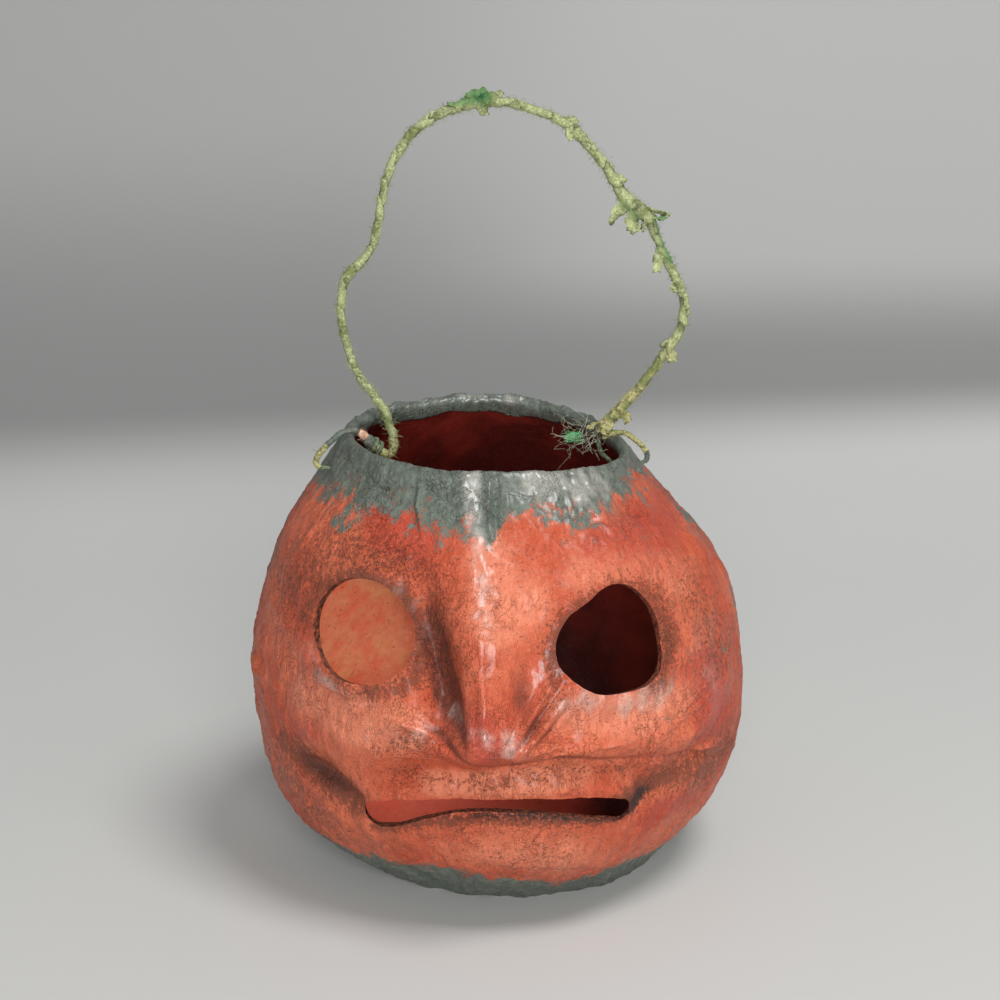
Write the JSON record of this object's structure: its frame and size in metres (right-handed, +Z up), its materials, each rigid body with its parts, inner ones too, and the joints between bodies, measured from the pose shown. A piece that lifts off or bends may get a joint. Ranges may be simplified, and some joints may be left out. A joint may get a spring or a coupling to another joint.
{
  "type": "papier-mache jack-o-lantern",
  "caption": "Hollow papier-mache jack-o-lantern with cut-out eyes and mouth, a bound open top, a flat pasted base and a paper-wrapped wire bail that tilts in holes below the rim.",
  "frame": {"origin": "on the flat underside of the base, below the middle of the body, on the surface that the lantern stands on", "axes": "+Z up; the face looks along -Y; +X is to the right for someone who looks at the face"},
  "size_m": [0.1642, 0.1658, 0.2615],
  "materials": {
    "orange_paper": "painted and varnished papier-mache, satin to glossy",
    "green_paper": "painted and varnished papier-mache, satin",
    "straw_crepe": "dull crepe paper, brushed with green",
    "bail_core": "soft iron wire with dull green paint"
  },
  "bodies": {
    "shell": {"pumpkin_shell": "orange_paper", "rim_binding": "green_paper", "base_cap": "green_paper"},
    "bail": {"bail_wire": "bail_core", "wrap_left_lower": "straw_crepe", "wrap_left_upper": "straw_crepe", "wrap_top": "straw_crepe", "wrap_right_shoulder": "straw_crepe", "wrap_right_upper": "straw_crepe", "wrap_right_lower": "straw_crepe"}
  },
  "joints": [
    {"name": "bail_swing", "type": "hinge", "parent": "shell", "child": "bail", "pos_m": [-0.00502, 0.00009, 0.1375], "axis": [0.9736, 0.2238, -0.0459], "range_deg": [-20, 20]}
  ]
}
